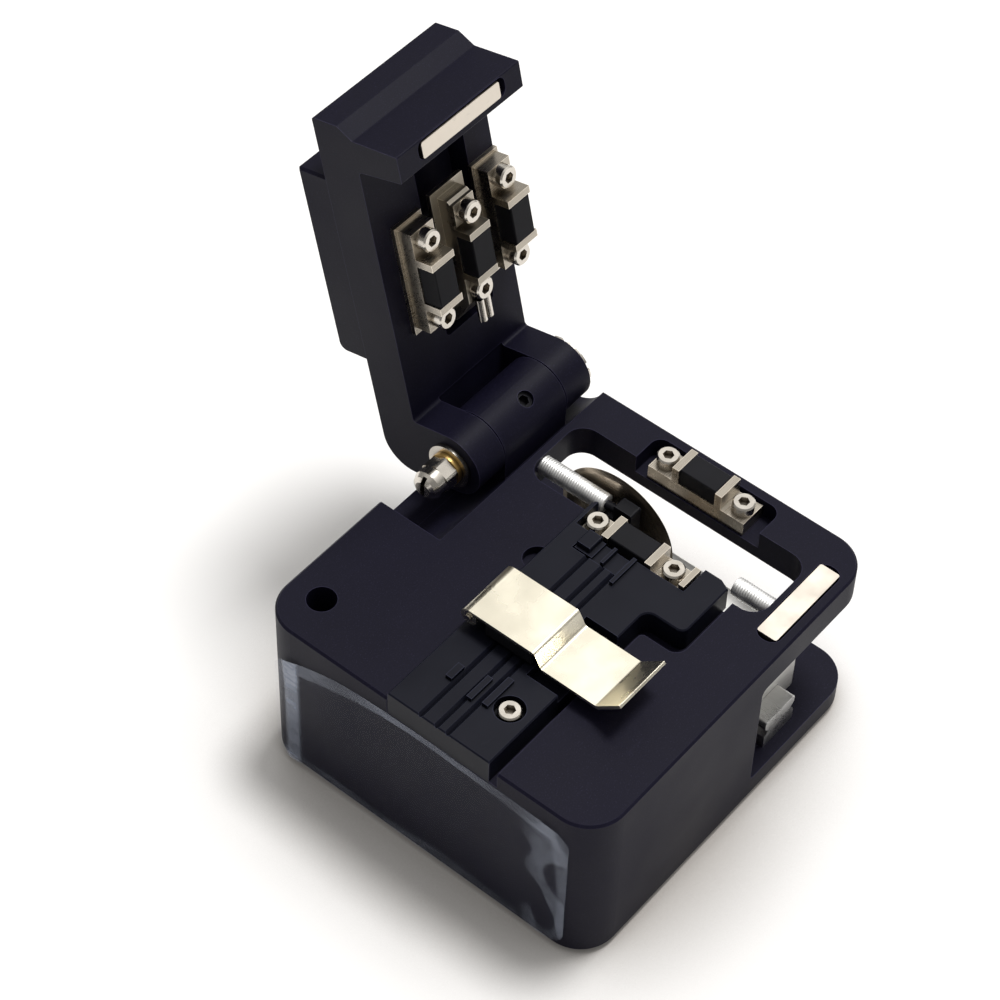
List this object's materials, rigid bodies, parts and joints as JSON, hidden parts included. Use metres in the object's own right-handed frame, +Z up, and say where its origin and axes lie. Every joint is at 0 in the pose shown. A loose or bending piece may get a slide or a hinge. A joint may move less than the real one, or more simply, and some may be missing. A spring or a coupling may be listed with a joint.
{
  "type": "fibre cleaver",
  "caption": "Bench fibre cleaver: a machined block with a hinged clamp lid, a sliding round blade under a deck window, anvils and a hinged fibre clip.",
  "frame": {"origin": "centre of the base underside, on the plane that the rubber mat stands on", "axes": "+X along the fibre towards the window and short fibre end, +Y towards the lid hinge, +Z up"},
  "size_m": [0.0631, 0.0832, 0.0862],
  "materials": {
    "black_anodised": "fine bead-blasted black anodising",
    "black_rubber": "matt",
    "clear_film": "clear, lightly wrinkled",
    "magnet_nickel": "scuffed nickel plate",
    "satin_steel": "ground",
    "bright_nickel": "bright nickel plate",
    "pale_nickel": "satin nickel plate, slightly warm",
    "black_polymer": "smooth matt",
    "brass": "turned",
    "black_steel": "black oxide",
    "bare_aluminium": "machined",
    "polished_steel": "ground disc with a lapped edge",
    "phosphor_bronze": "dull"
  },
  "bodies": {
    "body": {"body_frame": "black_anodised", "rubber_mat": "black_rubber", "protective_film": "clear_film", "deck_magnet": "magnet_nickel", "right_anvil_holder": "satin_steel", "right_anvil_pad": "black_rubber", "right_anvil_screws": "bright_nickel", "left_anvil_holder": "satin_steel", "left_anvil_pad": "black_rubber", "left_anvil_screws": "bright_nickel", "fibre_adapter_plate": "black_polymer", "fibre_guide_comb": "black_polymer", "adapter_screw": "bright_nickel", "clip_pin": "bright_nickel", "hinge_pin": "bright_nickel", "hinge_washer": "bright_nickel", "hinge_bush": "brass", "hinge_nut": "bright_nickel", "hinge_cap": "bright_nickel", "star_washer": "bright_nickel", "hinge_set_screw": "black_steel", "linear_rail": "satin_steel", "rail_screws": "bright_nickel", "rear_stop_pin": "satin_steel", "front_stop_screw": "satin_steel"},
    "slider": {"slider_carriage": "bare_aluminium", "blade_bracket": "black_steel", "bracket_screws": "bright_nickel", "blade_arbor": "satin_steel", "blade_lock_screw": "bright_nickel"},
    "blade": {"cutting_blade": "polished_steel", "blade_flange": "satin_steel"},
    "clip": {"fibre_clip": "pale_nickel", "clip_pad": "black_rubber"},
    "lid": {"lid_arm": "black_anodised", "lid_cover": "black_anodised", "cover_screws": "black_steel", "lid_magnet": "magnet_nickel", "left_clamp_spacer": "satin_steel", "left_clamp_holder": "satin_steel", "left_clamp_pad": "black_rubber", "left_clamp_screws": "bright_nickel", "right_clamp_spacer": "satin_steel", "right_clamp_holder": "satin_steel", "right_clamp_pad": "black_rubber", "right_clamp_screws": "bright_nickel", "lid_adjust_screw": "bright_nickel", "press_arm_pin": "bright_nickel"},
    "press": {"press_arm": "phosphor_bronze", "press_pad": "black_rubber", "press_arm_screws": "bright_nickel", "press_leaf": "satin_steel", "arm_dowels": "bright_nickel"}
  },
  "joints": [
    {"name": "lid_hinge", "type": "hinge", "parent": "body", "child": "lid", "pos_m": [0.0172, 0.02515, 0.03315], "axis": [1, 0, 0], "range_deg": [0, 102.7]},
    {"name": "slider_slide", "type": "slide", "parent": "body", "child": "slider", "axis": [0, -1, 0], "range_m": [0, 0.018]},
    {"name": "blade_turn", "type": "hinge", "parent": "slider", "child": "blade", "pos_m": [0.0183, 0.00525, 0.0228], "axis": [1, 0, 0], "continuous": true},
    {"name": "clip_hinge", "type": "hinge", "parent": "body", "child": "clip", "pos_m": [-0.0111, 0.00485, 0.0347], "axis": [-1, 0, 0], "range_deg": [0, 95]},
    {"name": "press_arm_hinge", "type": "hinge", "parent": "lid", "child": "press", "pos_m": [0.0185, 0.0361, 0.04831], "axis": [-1, 0, 0], "range_deg": [0, 2], "stiffness_Nm_per_rad": 0.3}
  ]
}
